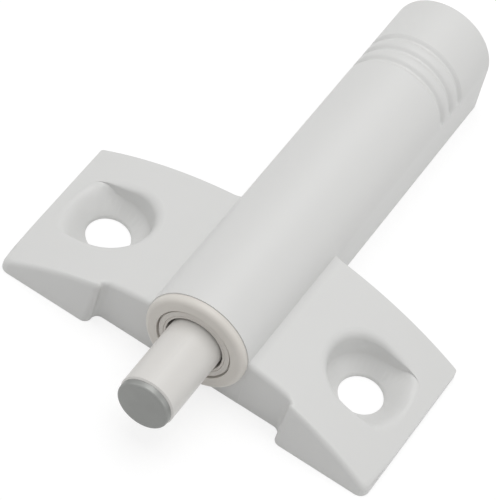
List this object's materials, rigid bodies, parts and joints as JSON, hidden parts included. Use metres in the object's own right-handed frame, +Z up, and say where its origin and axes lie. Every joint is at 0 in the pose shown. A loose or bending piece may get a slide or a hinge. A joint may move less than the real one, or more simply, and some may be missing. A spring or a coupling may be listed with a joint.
{
  "type": "magnetic push latch with screw-on bracket",
  "caption": "White push-to-open cupboard latch: a round tube on a two-winged screw plate, with a sprung plunger that carries a magnet at its tip.",
  "frame": {"origin": "midway between the two screw holes, on the flat mounting face", "axes": "+Z up from the mounting face, +Y along the tube away from the plunger, +X across the wings"},
  "size_m": [0.0454, 0.0636, 0.012],
  "materials": {
    "bracket_plastic": "white moulded plastic, satin, very fine grain",
    "cartridge_plastic": "slightly warmer white moulded plastic, satin",
    "bush_plastic": "grey-white plastic, satin",
    "plunger_plastic": "smooth white plastic, low gloss",
    "magnet_plating": "dull nickel plating on a round magnet",
    "spring_steel": "bright drawn wire"
  },
  "bodies": {
    "bracket": {"mounting_bracket": "bracket_plastic", "cartridge_sleeve": "cartridge_plastic", "guide_bush": "bush_plastic", "end_plug": "cartridge_plastic", "plunger_spring": "spring_steel"},
    "plunger": {"plunger": "plunger_plastic", "magnet": "magnet_plating"},
    "follower": {"follower_pin": "spring_steel"}
  },
  "joints": [
    {"name": "plunger_slide", "type": "slide", "parent": "bracket", "child": "plunger", "axis": [0, 1, 0], "range_m": [0, 0.009], "stiffness_N_per_m": 218, "springref_m": -0.008, "deforming": ["plunger_spring"]},
    {"name": "follower_swing", "type": "hinge", "parent": "bracket", "child": "follower", "pos_m": [0, 0.0353, 0.00815], "axis": [0, 0, 1], "range_deg": [0, 4.06]}
  ],
  "couplings": [
    {"joint": "follower_swing", "follows": "plunger_slide", "rad_per_m": 7.8729}
  ]
}
